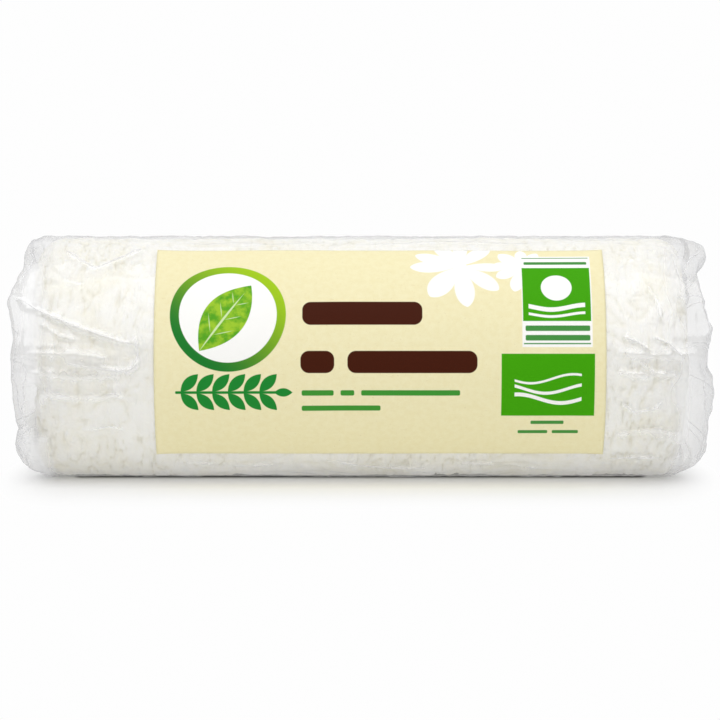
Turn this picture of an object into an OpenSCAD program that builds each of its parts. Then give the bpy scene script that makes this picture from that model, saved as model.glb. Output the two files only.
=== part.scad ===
// Goat cheese log in clear film, with a paper label round its front.
// Millimetres. +X runs along the log, -Y is the labelled front, +Z is up.
// The origin is the middle of the flat that the log rests on.

/* [Log] */
// Length over the film, from the furthest fold at one end to the furthest at the other
pack_length = 124; // [100:1:160]
// Diameter over the film
pack_diameter = 43.8; // [36:0.2:60]
// How far the log has settled: the depth of the flat that it rests on
rest_depth = 0.6; // [0.3:0.1:1.5]
// Height of the soft ripples that the film follows
ripple_height = 0.22; // [0:0.02:0.4]
// Distance from one ripple to the next
ripple_pitch = 11; // [6:0.5:20]

/* [Folded ends] */
// Length of each rounded end, from the straight side to its furthest fold
end_length = 8; // [6:0.5:14]
// How far in from the side the end turns over
turn_in = 3.4; // [2:0.2:8]
// How squarely the end turns over: 2 is a quarter of an ellipse
turn_squareness = 2.6; // [2:0.1:4]
// How deep the crease between two folds is
crease_depth = 1.3; // [0.2:0.1:3]
// How far the gathered middle of an end lies behind its furthest fold
gather_depth = 2.6; // [0.5:0.1:5]

/* [Label] */
// Length of the label along the log
label_length = 79; // [40:1:84]
// How far the middle of the label is from the middle of the log
label_shift = 3.5; // [-5:0.5:5]
// Angle round the log that the label covers
label_span = 110; // [60:5:150]
// Height of the label's middle line, as an angle above the front
label_tilt = 10; // [-20:5:20]
// Thickness of the paper
label_thickness = 0.2; // [0.1:0.05:0.5]

/* [Hidden] */

pack_radius = pack_diameter / 2;
axis_height = pack_radius - rest_depth;
side_end = pack_length / 2 - end_length;
label_left = label_shift - label_length / 2;
label_right = label_shift + label_length / 2;

label_low = label_tilt - label_span / 2;
label_high = label_tilt + label_span / 2;

// Angles run round the log: 0 is the front, 90 the top, 270 the flat that it rests on.
// They start with the label's own, so that its edges follow the log's facets.
label_facets = 22;
other_facets = 50;
facets = label_facets + other_facets;
label_steps = 16;
side_steps = 4;
turn_steps = 6;
face_steps = 5;

// Crests of the folds round each end: [angle, how far short of the furthest fold it stays].
fold_reach = 20;
left_folds = [
    [30, 0], [65, 2.6], [105, 1.9], [145, 1.2], [185, 1.7],
    [225, 1.1], [265, 1.5], [310, 1.0], [350, 1.1]
];
right_folds = [
    [15, 0.5], [60, 0.7], [100, 1.6], [140, 1.0], [180, 1.4],
    [220, 0.9], [260, 1.7], [300, 1.1], [340, 0]
];

function ease(t) = let (u = min(max(t, 0), 1)) u * u * (3 - 2 * u);
function mix(a, b, t) = a + (b - a) * t;
function turn_between(a, b) = let (d = abs(a - b) % 360) min(d, 360 - d);

label_angles = [for (i = [0 : label_facets]) mix(label_low, label_high, i / label_facets)];
other_angles =
    [for (i = [1 : other_facets - 1]) mix(label_high, label_low + 360, i / other_facets)];
ring_angles = concat(label_angles, other_angles);

// 0 under the label and along the flat, where nothing ripples, and 1 well clear of both.
ripple_fade = 12;
function beside_label(x, a) =
    let (along = max(label_left - x, x - label_right) / ripple_fade,
         round_it = (turn_between(a, label_tilt) - label_span / 2) / (2 * ripple_fade))
    ease(max(along, round_it));
function above_flat(a) = ease((turn_between(a, 270) - 2 * ripple_fade) / (2 * ripple_fade));
function ripple(x, a) =
    ripple_height * beside_label(x, a) * above_flat(a)
    * (0.6 * sin(360 * x / ripple_pitch + 70 * sin(2 * a))
       + 0.4 * sin(360 * x / (2.7 * ripple_pitch) + 3 * a));

// A point at x, on the ray that leaves the log's axis at angle a, cut off at the flat.
function at(x, a, r) = [x, -r * cos(a), max(axis_height + r * sin(a), 0)];
function on_side(x, a, lift = 0) = at(x, a, pack_radius + ripple(x, a) + lift);

// How far past side_end the rim of an end reaches at angle a: the folds stand like petals,
// with a crease where two meet.
function rim_reach(a, folds) =
    max([for (f = folds)
        end_length - f[1] - crease_depth * pow(turn_between(a, f[0]) / fold_reach, 2)]);

// The end turns over along a quarter of a squared ellipse...
function on_turn(side, a, folds, t) =
    let (out = pow(sin(t), 2 / turn_squareness), up = pow(cos(t), 2 / turn_squareness))
    at(side * (side_end + rim_reach(a, folds) * out),
       a,
       pack_radius + ripple(side * side_end, a) * up - turn_in * (1 - up));
// ...and its face then sinks towards the gathered middle.
function on_face(side, a, folds, share) =
    at(side * (side_end + mix(end_length - gather_depth, rim_reach(a, folds), ease(share))),
       a,
       (pack_radius - turn_in) * share);

function ring(points_at) = [for (a = ring_angles) points_at(a)];

// Faces between rings of n points each, all the way round.
function band_faces(rings, n) = [
    for (j = [0 : rings - 2], i = [0 : n - 1])
        let (k = (i + 1) % n, low = j * n, high = low + n)
        each [[low + i, high + i, high + k], [low + i, high + k, low + k]]
];

// Where the straight side has its rings: close together under the label, wider beside it.
side_stations = concat(
    [for (i = [1 : side_steps]) mix(-side_end, label_left, i / (side_steps + 1))],
    [for (i = [0 : label_steps]) mix(label_left, label_right, i / label_steps)],
    [for (i = [1 : side_steps]) mix(label_right, side_end, i / (side_steps + 1))]
);

module wrapped_log() {
    left_face = [for (i = [1 : face_steps - 1])
        ring(function (a) on_face(-1, a, left_folds, i / face_steps))];
    left_turn = [for (i = [turn_steps : -1 : 0])
        ring(function (a) on_turn(-1, a, left_folds, 90 * i / turn_steps))];
    side = [for (x = side_stations) ring(function (a) on_side(x, a))];
    right_turn = [for (i = [0 : turn_steps])
        ring(function (a) on_turn(1, a, right_folds, 90 * i / turn_steps))];
    right_face = [for (i = [face_steps - 1 : -1 : 1])
        ring(function (a) on_face(1, a, right_folds, i / face_steps))];
    rings = concat(left_face, left_turn, side, right_turn, right_face);
    middle = side_end + end_length - gather_depth;
    last = len(rings) * facets;
    points = concat([for (r = rings) each r], [[-middle, 0, axis_height], [middle, 0, axis_height]]);
    faces = concat(
        band_faces(len(rings), facets),
        [for (i = [0 : facets - 1]) [last, i, (i + 1) % facets]],
        [for (i = [0 : facets - 1]) [last + 1, last - facets + (i + 1) % facets, last - facets + i]]
    );
    color([0.95, 0.94, 0.90]) polyhedron(points, faces, convexity = 4);
}

// The label lies on the log's own facets, so its inner face meets them all over.
module label() {
    stations = [for (i = [0 : label_steps]) mix(label_left, label_right, i / label_steps)];
    across = len(label_angles);
    // Each ring goes up the inner face and back down the outer one.
    rings = [for (x = stations) concat(
        [for (i = [0 : across - 1]) on_side(x, label_angles[i])],
        [for (i = [across - 1 : -1 : 0]) on_side(x, label_angles[i], label_thickness)])];
    n = 2 * across;
    last = (len(rings) - 1) * n;
    ends = [for (i = [0 : across - 2])
        let (a = i, b = i + 1, c = n - 2 - i, d = n - 1 - i)
        each [[a, b, c], [a, c, d], [last + a, last + c, last + b], [last + a, last + d, last + c]]];
    color([0.97, 0.93, 0.77])
        polyhedron([for (r = rings) each r], concat(band_faces(len(rings), n), ends), convexity = 4);
}

wrapped_log();
label();
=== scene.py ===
"""A log of white-rinded goat cheese in tight clear film, with a paper label on its front.

Lengths in the property groups are metres, as in the frame. Shapes are worked out in
millimetres on a cylinder's own coordinates: x along the log, and the angle round it, which
is 0 at the front, 90 at the top and -90 underneath.
"""

import math

import bpy
import numpy as np
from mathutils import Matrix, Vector


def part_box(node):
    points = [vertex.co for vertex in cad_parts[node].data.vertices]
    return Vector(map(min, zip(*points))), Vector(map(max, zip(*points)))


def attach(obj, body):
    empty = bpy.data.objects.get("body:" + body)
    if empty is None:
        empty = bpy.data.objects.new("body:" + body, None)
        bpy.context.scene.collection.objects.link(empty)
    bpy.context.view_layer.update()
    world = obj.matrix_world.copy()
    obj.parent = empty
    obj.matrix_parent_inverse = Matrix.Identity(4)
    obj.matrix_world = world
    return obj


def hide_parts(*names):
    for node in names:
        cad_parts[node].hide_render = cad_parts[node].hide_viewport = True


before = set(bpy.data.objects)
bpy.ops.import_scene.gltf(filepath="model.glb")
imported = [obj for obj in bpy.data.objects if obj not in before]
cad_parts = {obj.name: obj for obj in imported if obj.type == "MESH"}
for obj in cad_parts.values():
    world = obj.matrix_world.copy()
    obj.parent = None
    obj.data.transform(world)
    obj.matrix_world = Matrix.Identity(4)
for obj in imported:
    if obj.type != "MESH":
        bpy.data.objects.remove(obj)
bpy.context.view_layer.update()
LOG_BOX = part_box("wrapped_log")
LABEL_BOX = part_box("label")

bl_info = {
    "name": "Wrapped goat cheese log",
    "version": (1, 0, 0),
    "blender": (4, 5, 0),
    "location": "View3D > Sidebar > Cheese log",
    "description": "Builds a goat cheese log, its clear film, its label and a small studio",
    "category": "Add Mesh",
}

MM = 0.001


# ---------------------------------------------------------------- sizes and colours


def metres(name, description, default, precision=4):
    return bpy.props.FloatProperty(
        name=name, description=description, default=default, unit="LENGTH", precision=precision
    )


def degrees(name, description, default):
    return bpy.props.FloatProperty(
        name=name, description=description, default=math.radians(default), unit="ROTATION"
    )


def brightness(name, description, default):
    return bpy.props.FloatProperty(name=name, description=description, default=default, min=0)


def colour(name, description, default):
    return bpy.props.FloatVectorProperty(
        name=name, description=description, default=default, subtype="COLOR", min=0, max=1
    )


class CheeseSettings(bpy.types.PropertyGroup):
    length: metres("Length", "Length of the cheese", 0.1150)
    diameter: metres("Diameter", "Diameter of the cheese", 0.0431)
    shoulder: metres("Shoulder", "Rounding where the side meets an end", 0.0042)
    wrinkle: metres("Wrinkle", "Depth of the rind's wrinkles", 0.00034, 5)
    rind: colour("Rind", "Colour of the bloom on the rind", (0.945, 0.936, 0.898))
    paste: colour("Paste", "Colour where the bloom is thin", (0.895, 0.868, 0.755))


class FilmSettings(bpy.types.PropertyGroup):
    length: metres(
        "Length", "Length over the folds at both ends", LOG_BOX[1][0] - LOG_BOX[0][0]
    )
    diameter: metres("Diameter", "Diameter of the film where it lies on the cheese", 0.0435)
    crease: metres("Crease", "Height of the film's creases", 0.00042, 5)
    pleats: bpy.props.IntProperty(
        name="Pleats", description="Fine pleats round each end", default=26, min=8, max=60
    )
    milk: colour("Haze", "Colour of the film where it is folded on itself", (0.66, 0.66, 0.68))


class LabelSettings(bpy.types.PropertyGroup):
    low_angle: degrees("Lower edge", "Angle of the lower edge above the front", -46.6)
    high_angle: degrees("Upper edge", "Angle of the upper edge above the front", 64.6)
    thickness: metres("Thickness", "Thickness of the paper", 0.00012, 5)
    paper: colour("Paper", "Colour of the paper", (0.865, 0.805, 0.525))
    green: colour("Green", "Colour of the green panels", (0.050, 0.350, 0.0005))
    brown: colour("Brown", "Colour of the brown bars", (0.055, 0.009, 0.002))


class StageSettings(bpy.types.PropertyGroup):
    elevation: degrees("Elevation", "Height of the camera above level", 5.0)
    distance: metres("Distance", "Distance from the camera to the log's axis", 0.566)
    lens: bpy.props.FloatProperty(
        name="Lens", description="Focal length of the camera", default=156.0, unit="CAMERA"
    )
    softbox: brightness("Softbox", "Brightness of the overhead softbox", 1.09)
    fill: brightness("Fill", "Brightness of the room behind the camera", 0.26)
    backdrop: brightness("Backdrop", "Brightness of the room behind the log", 0.86)


SETTINGS = {
    "cheese_settings": CheeseSettings,
    "film_settings": FilmSettings,
    "label_settings": LabelSettings,
    "stage_settings": StageSettings,
}


# ---------------------------------------------------------------- smooth seeded noise


class Grain:
    """Smooth noise over points in space, between about -1 and 1, the same on each run."""

    PRIMES = (73856093, 19349663, 83492791)
    TABLE_SIZE = 8192

    def __init__(self, seed):
        self.table = np.random.default_rng(seed).uniform(-1.0, 1.0, self.TABLE_SIZE)

    def at(self, points):
        cell = np.floor(points).astype(np.int64)
        part = points - cell
        ease = part ** 3 * (part * (part * 6 - 15) + 10)
        total = np.zeros(points.shape[:-1])
        for corner in np.ndindex(2, 2, 2):
            key = np.zeros(points.shape[:-1], dtype=np.int64)
            weight = np.ones(points.shape[:-1])
            for axis in range(3):
                key ^= (cell[..., axis] + corner[axis]) * self.PRIMES[axis]
                share = ease[..., axis]
                weight = weight * (share if corner[axis] else 1 - share)
            total += self.table[key & (self.TABLE_SIZE - 1)] * weight
        return total * 1.5

    def layers(self, points, count=3):
        return sum(self.at(points * 2 ** i + 17.3 * i) / 2 ** i for i in range(count)) / 1.6


def ease(value, low=0.0, high=1.0):
    share = np.clip((value - low) / (high - low), 0, 1)
    return share * share * (3 - 2 * share)


def stretched(x, angle, radius, along, around):
    """Points on the log for a Grain, with noise of one size along it and another round it."""
    turn = np.radians(angle)
    return np.stack(
        [x / along, radius * np.cos(turn) / around, radius * np.sin(turn) / around], axis=-1
    )


def turn_between(a, b):
    return np.abs((a - b + 180) % 360 - 180)


# ---------------------------------------------------------------- the log's surfaces


# Millimetres: the height of the log's axis over the flat that it rests on, and the radii at
# which the unevenness of the rind and of the film is laid out.
AXIS_HEIGHT = 21.3
RIND_RADIUS = 21.7
FILM_RADIUS = 21.9
FAR_AWAY = 1e9


def rest_height():
    """Height of the log's axis above what it lies on, in millimetres."""
    return -LOG_BOX[0][2] / MM + AXIS_HEIGHT


def arc_length(angle):
    """Length round the film, in millimetres, of an angle in degrees."""
    return angle * FILM_RADIUS * math.pi / 180


def on_log(x, angle, radius):
    """Points in metres from x, angle and radius in millimetres and degrees."""
    turn = np.radians(angle)
    return np.stack(
        [x, -radius * np.cos(turn), rest_height() + radius * np.sin(turn)], axis=-1
    ) * MM


# The rim of each end, worked round from underneath: angle, and how far short of the
# furthest fold the film stays there, in millimetres.
LEFT_RIM = (
    (-90, 3.6), (-68, 1.9), (-60, 1.1), (-52, 0.7), (-44, 0.95), (-36, 1.6),
    (-26, 1.3), (-16, 1.15), (-2, 0.95), (6, 0.9), (14, 1.2), (20, 0.95), (27, 0.45), (33, 0.0),
    (38, 0.5), (46, 1.5), (55, 2.3), (66, 2.2), (75, 2.3), (84, 2.6), (97, 2.4), (112, 2.2),
    (121, 3.0), (136, 1.6), (150, 1.1), (160, 2.1), (176, 1.3), (189, 0.9), (200, 2.0),
    (214, 1.6), (229, 1.7), (243, 2.0), (256, 3.2),
)
RIGHT_RIM = (
    (-90, 3.8), (-72, 2.4), (-62, 1.2), (-56, 0.7), (-50, 0.5), (-40, 0.6), (-30, 0.7),
    (-20, 0.2), (-12, 0.0), (-6, 0.35), (1, 1.25), (8, 1.15), (14, 0.5), (19, 0.2), (24, 0.9),
    (31, 1.5), (42, 2.1), (51, 2.5), (58, 1.9), (63, 0.7), (67, 0.3), (74, 0.3), (82, 1.3),
    (93, 3.3), (104, 2.2), (115, 1.5), (127, 2.6), (140, 1.4), (152, 0.7), (165, 1.9),
    (180, 1.2), (193, 1.9), (208, 1.0), (222, 1.6), (238, 2.9), (252, 3.1),
)


def rim_setback(angle, rim):
    """How far short of the furthest fold the rim stays at each angle."""
    knots = np.array(rim, dtype=float)
    at, value = knots[:, 0], knots[:, 1]
    around = (angle - at[0]) % 360 + at[0]
    at = np.append(at, at[0] + 360)
    value = np.append(value, value[0])
    i = np.clip(np.searchsorted(at, around, side="right") - 1, 0, len(at) - 2)
    share = (around - at[i]) / (at[i + 1] - at[i])
    return value[i] + (value[i + 1] - value[i]) * ease(share)


def squared_quarter(share, squareness):
    """Out and up along a squared quarter of an ellipse, for share from 0 to 1."""
    turn = np.clip(share, 0, 1) * math.pi / 2
    return np.sin(turn) ** (2 / squareness), np.cos(turn) ** (2 / squareness)


def under_flat(radius, angle, floor):
    """Shortens each radius so that its point stays at least floor above the resting surface."""
    level, blend = 0.3, 0.12
    down = -np.sin(np.radians(angle))
    reach = (rest_height() - floor) / np.maximum(down, level)
    gap = np.where(down > level, reach, FAR_AWAY) - radius
    shorter = gap - blend * np.exp(np.minimum(gap, blend) / blend - 1)
    return radius + np.where(gap < blend, shorter, 0)


# ------------------------------------------------ the rind


RIND_WAVES = Grain(11)
RIND_RINGS = Grain(12)
RIND_MASK = Grain(13)
RIND_LUMPS = Grain(14)
RIND_BANDS = Grain(15)


def rind_relief(x, angle, depth):
    """Height of the rind over a plain cylinder in millimetres, and how deep in a wrinkle."""
    r = RIND_RADIUS
    tallest = 0.07
    bend = 1.1 * RIND_WAVES.at(stretched(x, angle, r, 7.0, 7.0))
    rings = RIND_RINGS.layers(stretched(x + bend, angle + 3 * bend, r, 1.6, 7.0), 2)
    bands = RIND_BANDS.layers(stretched(x, angle + 5 * bend, r, 9.0, 2.6), 2)
    where = ease(RIND_MASK.at(stretched(x, angle, r, 15.0, 9.0)), -0.7, 0.3)
    groove = np.maximum(0, 1 - np.abs(rings) * 4.6) ** 1.3 * where
    fold = np.maximum(0, 1 - np.abs(bands) * 4.2) ** 1.4 * (1 - 0.6 * where)
    lumps = RIND_LUMPS.layers(stretched(x, angle, r, 1.7, 1.7), 2)
    waves = RIND_WAVES.layers(stretched(x + 50, angle, r, 13.0, 9.0), 3)
    wrinkles = depth * (0.45 * rings - 1.2 * groove - 0.9 * fold)
    height = 0.36 * waves + wrinkles + 0.07 * lumps - 0.10
    height = np.where(height > 0, tallest * np.tanh(height / tallest), height)
    return height, np.maximum(groove, 0.8 * fold)


# ------------------------------------------------ the film


FILM_FOLDS = Grain(21)
FILM_LONG = Grain(22)
FILM_RINGS = Grain(23)
FILM_FINE = Grain(24)
FILM_WARP = Grain(25)
LABEL_WAVES = Grain(31)
END_PLEATS = {-1: Grain(41), 1: Grain(42)}
GLARE_PATCHES = Grain(47)

# Creases that the film is pulled into: points as (x, angle), then height and half width.
CREASES = (
    (((-60.4, 33.5), (-56.5, 26.5), (-50.5, 19.6), (-43.5, 13.2), (-38.9, 9.8)), 0.52, 1.6),
    (((-56.0, 21.0), (-52.0, 14.0), (-49.5, 12.5)), 0.30, 1.0),
    (((-51.0, 2.0), (-45.0, -0.5), (-40.5, -2.0), (-38.5, 1.5)), 0.34, 1.1),
    (((-39.4, 14.0), (-38.7, 7.0), (-39.2, -1.5)), 0.42, 0.9),
    (((-52.3, 64.0), (-49.6, 56.0), (-46.6, 49.5)), 0.42, 1.1),
    (((-47.0, 49.5), (-42.5, 57.0), (-38.4, 66.0)), 0.36, 0.8),
    (((-55.0, 50.0), (-51.0, 42.0), (-48.5, 40.0)), 0.25, 0.9),
    (((-57.5, 6.8), (-51.0, 5.8), (-44.0, 4.0)), 0.46, 2.4),
    (((46.0, 6.5), (51.5, 5.0), (57.5, 6.2)), 0.46, 2.4),
    (((-57.0, -3.0), (-50.0, -5.0), (-41.0, -4.0)), 0.50, 2.3),
    (((-56.0, -13.0), (-49.0, -14.5), (-42.0, -13.0)), 0.40, 1.9),
    (((44.5, -2.0), (50.0, -4.0), (56.0, -3.0)), 0.40, 1.9),
    (((44.5, -34.0), (50.0, -31.0), (56.5, -33.0)), 0.45, 1.8),
    (((-46.5, -16.0), (-43.0, -13.0), (-41.0, -14.5)), 0.30, 0.8),
    (((-48.0, -31.0), (-44.0, -29.0), (-41.5, -30.5)), 0.34, 0.8),
    (((46.0, 14.0), (48.6, 11.5), (50.5, 8.0)), 0.34, 0.8),
    (((51.5, 13.5), (53.9, 11.0), (56.0, 5.5), (56.8, 2.0)), 0.40, 0.8),
    (((48.5, 3.0), (51.5, -2.5), (53.0, -3.5)), 0.30, 0.8),
    (((45.6, -16.0), (48.0, -21.5), (51.6, -19.5), (53.0, -15.0)), 0.34, 0.9),
    (((44.0, -50.5), (48.0, -48.5), (53.5, -49.5)), 0.42, 0.9),
    (((55.2, 60.0), (56.0, 45.0), (57.0, 30.0)), 0.45, 1.0),
    (((50.5, 40.0), (52.2, 30.0), (52.6, 22.0)), 0.30, 0.7),
    (((45.0, 33.0), (47.0, 20.0), (46.5, 12.0)), 0.25, 0.8),
    (((-30.0, -53.0), (-22.0, -57.0), (-14.0, -55.0)), 0.30, 0.9),
    (((-6.0, -52.0), (2.0, -58.0), (12.0, -60.0)), 0.34, 1.0),
    (((14.0, -52.5), (24.0, -55.0), (33.0, -60.0)), 0.30, 0.9),
    (((-33.0, 72.0), (-20.0, 69.5), (-6.0, 73.0)), 0.26, 1.0),
    (((2.0, 70.5), (16.0, 74.0), (33.0, 69.5)), 0.28, 1.0),
)


def drawn_creases(x, angle):
    """Height of the named creases at each point."""
    arc = arc_length(angle)
    total = np.zeros_like(x)
    for points, height, half_width in CREASES:
        path = [(px, arc_length(pa)) for px, pa in points]
        xs, arcs = zip(*path)
        margin = 4 * half_width
        near = (
            (x > min(xs) - margin) & (x < max(xs) + margin)
            & (arc > min(arcs) - margin) & (arc < max(arcs) + margin)
        )
        if not near.any():
            continue
        px, pa = x[near], arc[near]
        best = np.full(px.shape, FAR_AWAY)
        along = np.zeros(px.shape)
        count = len(path) - 1
        for i in range(count):
            (ax, ay), (bx, by) = path[i], path[i + 1]
            dx, dy = bx - ax, by - ay
            share = np.clip(((px - ax) * dx + (pa - ay) * dy) / (dx * dx + dy * dy), 0, 1)
            away = np.hypot(px - ax - share * dx, pa - ay - share * dy)
            closer = away < best
            best = np.where(closer, away, best)
            along = np.where(closer, (i + share) / count, along)
        taper = np.minimum(1, 5 * np.minimum(along + 0.12, 1.08 - along))
        total[near] += height * taper * np.maximum(0, 1 - best / half_width) ** 1.4
    return total


def label_cover(x, angle, margin=3.2):
    """1 under the label, falling to 0 at margin in millimetres outside it."""
    label = bpy.context.scene.label_settings
    low, high = math.degrees(label.low_angle), math.degrees(label.high_angle)
    middle, half = (low + high) / 2, (high - low) / 2
    around = arc_length(turn_between(angle, middle) - half)
    along = np.maximum(LABEL_BOX[0][0] / MM - x, x - LABEL_BOX[1][0] / MM)
    return 1 - ease(np.maximum(np.maximum(around, along), 0), 0.0, margin)


def label_waves(x, angle):
    """The soft unevenness that the label and the film under it share."""
    return 0.07 * LABEL_WAVES.layers(stretched(x, angle, FILM_RADIUS, 15.0, 11.0), 2)


def film_relief(x, angle, crease):
    """Height of the film over a plain cylinder, in millimetres."""
    r = FILM_RADIUS
    warp = 1.6 * FILM_WARP.at(stretched(x, angle, r, 12.0, 9.0))

    def creased(grain, along, around, drift, turn):
        spots = stretched(x + drift * warp, angle + turn * warp, r, along, around)
        return np.abs(grain.layers(spots, 2))

    folds = creased(FILM_FOLDS, 6.5, 5.0, 1, 4)
    long_ones = creased(FILM_LONG, 21.0, 3.0, 2, 3)
    rings = creased(FILM_RINGS, 2.3, 10.0, 0.7, 0)
    fine = FILM_FINE.layers(stretched(x, angle, r, 1.5, 1.5), 2)
    low_half = 0.5 * ease(-angle, -25, 30) * ease(angle, -140, -110) + 0.7
    wrinkles = (
        0.64 - 0.50 * folds - 0.50 * long_ones - 0.62 * rings * low_half
    ) * crease + 0.035 * fine
    cover = label_cover(x, angle)
    open_height = np.maximum(wrinkles, -0.10) + drawn_creases(x, angle)
    return open_height * (1 - cover) + (label_waves(x, angle) - 0.02) * cover


# Degrees that the pleats of each end turn by, from the rim to the middle.
END_TWIST = {-1: 26, 1: -21}


def pleat_height(angle, share, side, count):
    """How high the fine pleats of an end stand. share is 0 at the middle and 1 at the rim."""
    share = share + 0 * angle
    turn = np.radians(angle + END_TWIST[side] * (1 - share))

    def noise(scale, height):
        spots = np.stack([scale * np.cos(turn), scale * np.sin(turn), height], axis=-1)
        return END_PLEATS[side].at(spots)

    uneven, wide = noise(2.6, share * 0.7), noise(5.0, 4 + share)
    phase = count * turn / 2 + 2.4 * uneven
    return (1 - np.abs(np.sin(phase)) ** 0.8) * (0.75 + 0.5 * wide) + 0.35 * wide


FILM_COLUMNS = 240
# Rows from the middle of an end to its rim, how they crowd there, and rows round the corner.
FACE_STEPS, FACE_SPACING, TURN_STEPS = 26, 0.85, 14
# Millimetres from the furthest fold of an end back to the flat part round its middle.
FACE_SINK = 5.1
CORNER_SQUARENESS = 2.7
SIDE_HAZE = 0.18


def film_angles():
    """Angles of the film's columns, from underneath round the front: closest together there."""
    gather, offset = 0.4 / math.tau, 0.33
    turn = np.arange(FILM_COLUMNS) / FILM_COLUMNS
    crowding = np.sin(math.tau * (turn - offset)) + math.sin(math.tau * offset)
    return -90 + 360 * (turn - gather * crowding)


def film_column(angle):
    """Where an angle falls among the film's columns."""
    angles = np.append(film_angles(), 270.0)
    columns = np.arange(FILM_COLUMNS + 1)
    return np.interp((angle + 90) % 360 - 90, angles, columns) % FILM_COLUMNS


def ridge_share(relief):
    """How far the film stands up as a ridge, from 0 to 1."""
    return ease(relief, 0.10, 0.48)


def film_rows(settings):
    """The film's surface as rows of points, the middles of its ends, and marks at its points.

    haze is how thick the film is folded, white a painted reflection near the ends, ridge how
    far it stands up.
    """
    r = settings.diameter / 2 / MM
    half = settings.length / 2 / MM
    crease = settings.crease / MM
    angle = film_angles()
    low = ease(-np.sin(np.radians(angle)), 0.2, 0.95)
    turn_in = 1.6 + 1.7 * low
    shoulder = 4.5 + 1.2 * low
    side_steps = 292
    end_haze = {-1: 1.0, 1: 1.3}
    rows, haze, ridges = [], [], []

    def face(side, rim):
        out = half - rim_setback(angle, rim)
        for i in range(1, FACE_STEPS):
            share = (i / FACE_STEPS) ** FACE_SPACING
            radius = (r - turn_in) * share
            sink = ease(share, 0.64, 1.0)
            knot = 0.6 * (1 - ease(share, 0.0, 0.16))
            flat = half - FACE_SINK + knot
            x = flat + (out - flat) * sink
            strength = ease(share, 0.02, 0.35) * (0.52 - 0.40 * ease(share, 0.5, 1.0))
            x = x + strength * pleat_height(angle, share, side, settings.pleats)
            rows.append((side * np.minimum(x, half), angle, under_flat(radius, angle, 0.0)))
            haze.append(end_haze[side] * (0.30 + 0.70 * share ** 2) + 0 * angle)
            ridges.append(0 * angle)

    def corner(side, rim, outwards):
        out = half - rim_setback(angle, rim)
        start = out - shoulder
        for i in range(TURN_STEPS + 1):
            share = i / TURN_STEPS if outwards else 1 - i / TURN_STEPS
            reach, up = squared_quarter(share, CORNER_SQUARENESS)
            x = start + shoulder * reach
            pleats = pleat_height(angle, 1.0 + 0.25 * (1 - share), side, settings.pleats)
            edge = ease(share, 0.0, 0.9)
            side_relief = film_relief(side * x, angle, crease) * (1 - edge)
            wander = END_PLEATS[1].at(stretched(2.0 + 0 * angle, angle, r, 9.0, 9.0))
            ridge = 0.15 * np.sin(10.5 * share + 2.4 * wander) * math.sin(math.pi * share)
            lift = (0.12 * edge * (pleats - 0.5) + ridge) * up
            radius = r - turn_in * (1 - up) + side_relief + lift
            x = x + edge * (1 - up) * 0.18 * (pleats - 0.35) + ridge * reach
            rows.append((side * np.minimum(x, half), angle, under_flat(radius, angle, 0.0)))
            haze.append(SIDE_HAZE + (end_haze[side] - SIDE_HAZE) * edge + 0 * angle)
            ridges.append(ridge_share(side_relief))

    face(-1, LEFT_RIM)
    corner(-1, LEFT_RIM, False)
    left = -(half - rim_setback(angle, LEFT_RIM) - shoulder)
    right = half - rim_setback(angle, RIGHT_RIM) - shoulder
    for i in range(1, side_steps):
        share = i / side_steps
        x = left + (right - left) * (share - 0.5 / math.tau * math.sin(math.tau * share))
        near_end = ease(np.abs(x), 48.5, 54.5)
        side = np.sign(x[0]) or 1
        pleats = pleat_height(angle, 1.25 + 0 * angle, side, settings.pleats)
        relief = film_relief(x, angle, crease) + 0.10 * near_end * (pleats - 0.4)
        rows.append((x, angle, under_flat(r + relief, angle, 0.0)))
        haze.append(SIDE_HAZE * near_end)
        ridges.append(ridge_share(relief))
    corner(1, RIGHT_RIM, True)
    right_rows = len(rows)
    face(1, RIGHT_RIM)
    rows[right_rows:] = rows[right_rows:][::-1]
    haze[right_rows:] = haze[right_rows:][::-1]
    points = np.array([on_log(*row) for row in rows])
    # Painted reflection: in a band just before the film turns over at each end, it is made
    # whiter in patches in place of the glare of the light off it there.
    x = points[..., 0] / MM
    band = np.abs(x + 0.7)
    band = ease(band, 53.0, 56.0) * (1 - ease(band, 57.0, 59.6))
    white = band * ease(GLARE_PATCHES.at(stretched(x, angle + 0 * x, r, 3.2, 5.0)), -0.9, 0.6)
    knot_x = (half - FACE_SINK + 0.75) * MM
    ends = [(-knot_x, 0, rest_height() * MM), (knot_x, 0, rest_height() * MM)]
    return points, ends, {
        "haze": np.array(haze), "white": white, "ridge": np.array(ridges)
    }


def crease_paths(settings):
    """Paths just over the film along its narrow, tall creases, with a width at each point."""
    r, crease = settings.diameter / 2 / MM, settings.crease / MM
    widest, lowest = 1.6, 0.33
    paths = []
    for points, height, half_width in CREASES:
        if half_width > widest or height < lowest:
            continue
        knots = np.array(points)
        at = np.linspace(0, len(knots) - 1, 10 * (len(knots) - 1) + 1)
        x = np.interp(at, np.arange(len(knots)), knots[:, 0])
        angle = np.interp(at, np.arange(len(knots)), knots[:, 1])
        radius = r + film_relief(x, angle, crease) + 0.02
        share = at / at[-1]
        width = 0.15 * np.sqrt(height) * np.sin(math.pi * np.clip(share, 0.02, 0.98)) ** 0.6
        paths.append((on_log(x, angle, under_flat(radius, angle, 0.1)), width * MM))
    return paths


# Tucks that lie along the corner of an end: side, row from the end's middle, and from which
# angle to which.
CORNER_TUCKS = (
    (-1, 31, 20, -24), (-1, 35, 6, -34), (-1, 30, -36, -58), (-1, 33, 68, 40),
    (-1, 32, 150, 192), (-1, 34, 214, 244), (-1, 33, 100, 130),
    (1, 30, 34, 10), (1, 33, 4, -26), (1, 31, -30, -58), (1, 34, 72, 44),
    (1, 32, 158, 198), (1, 34, 118, 146), (1, 31, 210, 240),
)


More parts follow.
